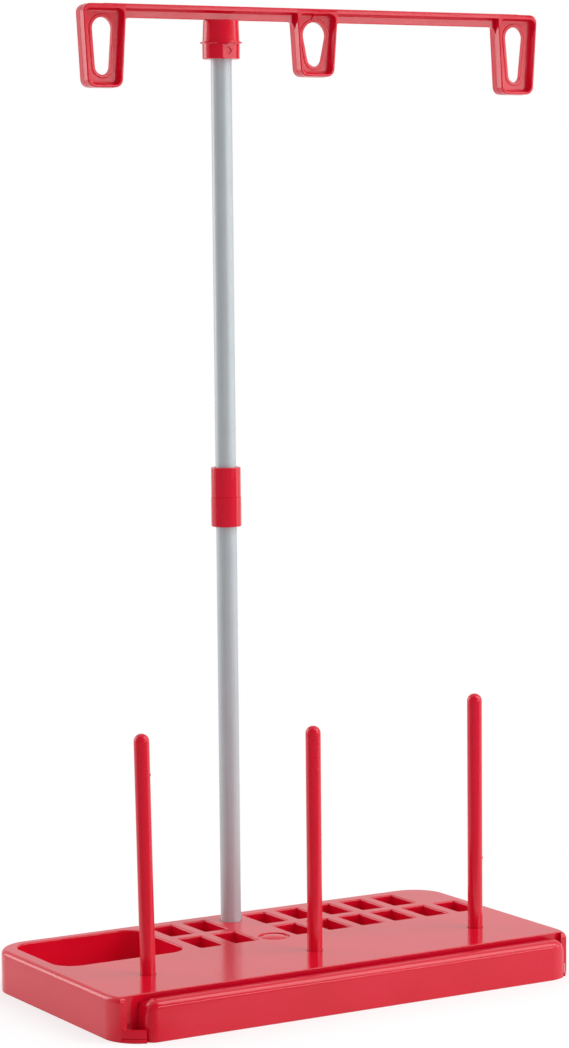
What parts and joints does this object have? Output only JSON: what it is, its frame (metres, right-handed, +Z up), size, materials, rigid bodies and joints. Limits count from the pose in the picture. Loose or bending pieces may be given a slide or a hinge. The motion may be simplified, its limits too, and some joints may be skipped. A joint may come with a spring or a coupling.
{
  "type": "thread spool stand",
  "caption": "Flat base with bobbin cells, tray and drawer, upright spool pins and a two-piece pole that carries a swivelling thread guide bar with eyelets.",
  "frame": {"origin": "centre of the base plate's underside, on the surface the stand rests on", "axes": "+Z up along the pole, +X along the base towards the bobbin cells, -Y to the front, where the drawer opens"},
  "size_m": [0.2857, 0.132, 0.4485],
  "materials": {
    "red_plastic": "moulded, semi-gloss red",
    "grey_tube": "satin light grey coating",
    "screw_steel": "zinc-plated"
  },
  "bodies": {
    "base": {"base_shell": "red_plastic", "base_bottom_plate": "red_plastic", "plate_screw_front_left": "screw_steel", "plate_screw_front_right": "screw_steel", "plate_screw_middle_left": "screw_steel", "plate_screw_middle_right": "screw_steel", "plate_screw_bay": "screw_steel", "plate_screw_rear_right": "screw_steel"},
    "drawer": {"storage_drawer": "red_plastic"},
    "left_pin": {"spool_pin_left": "red_plastic"},
    "middle_pin": {"spool_pin_middle": "red_plastic"},
    "right_pin": {"spool_pin_right": "red_plastic"},
    "lower_pole": {"lower_pole_tube": "grey_tube", "pole_coupler": "red_plastic"},
    "upper_pole": {"upper_pole_tube": "grey_tube"},
    "guide": {"thread_guide_bar": "red_plastic"}
  },
  "joints": [
    {"name": "drawer_slide", "type": "slide", "parent": "base", "child": "drawer", "axis": [0, -1, 0], "range_m": [0, 0.05]},
    {"name": "left_pin_lift", "type": "slide", "parent": "base", "child": "left_pin", "axis": [-0.0157, 0, 0.9999], "range_m": [0, 0.0116]},
    {"name": "middle_pin_lift", "type": "slide", "parent": "base", "child": "middle_pin", "axis": [0, 0, 1], "range_m": [0, 0.0158]},
    {"name": "right_pin_lift", "type": "slide", "parent": "base", "child": "right_pin", "axis": [0, 0, 1], "range_m": [0, 0.0084]},
    {"name": "lower_pole_lift", "type": "slide", "parent": "base", "child": "lower_pole", "axis": [0, 0, 1], "range_m": [0, 0.0158]},
    {"name": "upper_pole_lift", "type": "slide", "parent": "lower_pole", "child": "upper_pole", "axis": [0, 0, 1], "range_m": [0, 0.0133]},
    {"name": "guide_bar_swivel", "type": "hinge", "parent": "upper_pole", "child": "guide", "pos_m": [0, 0.0508, 0.4322], "axis": [0, 0, 1], "continuous": true}
  ]
}
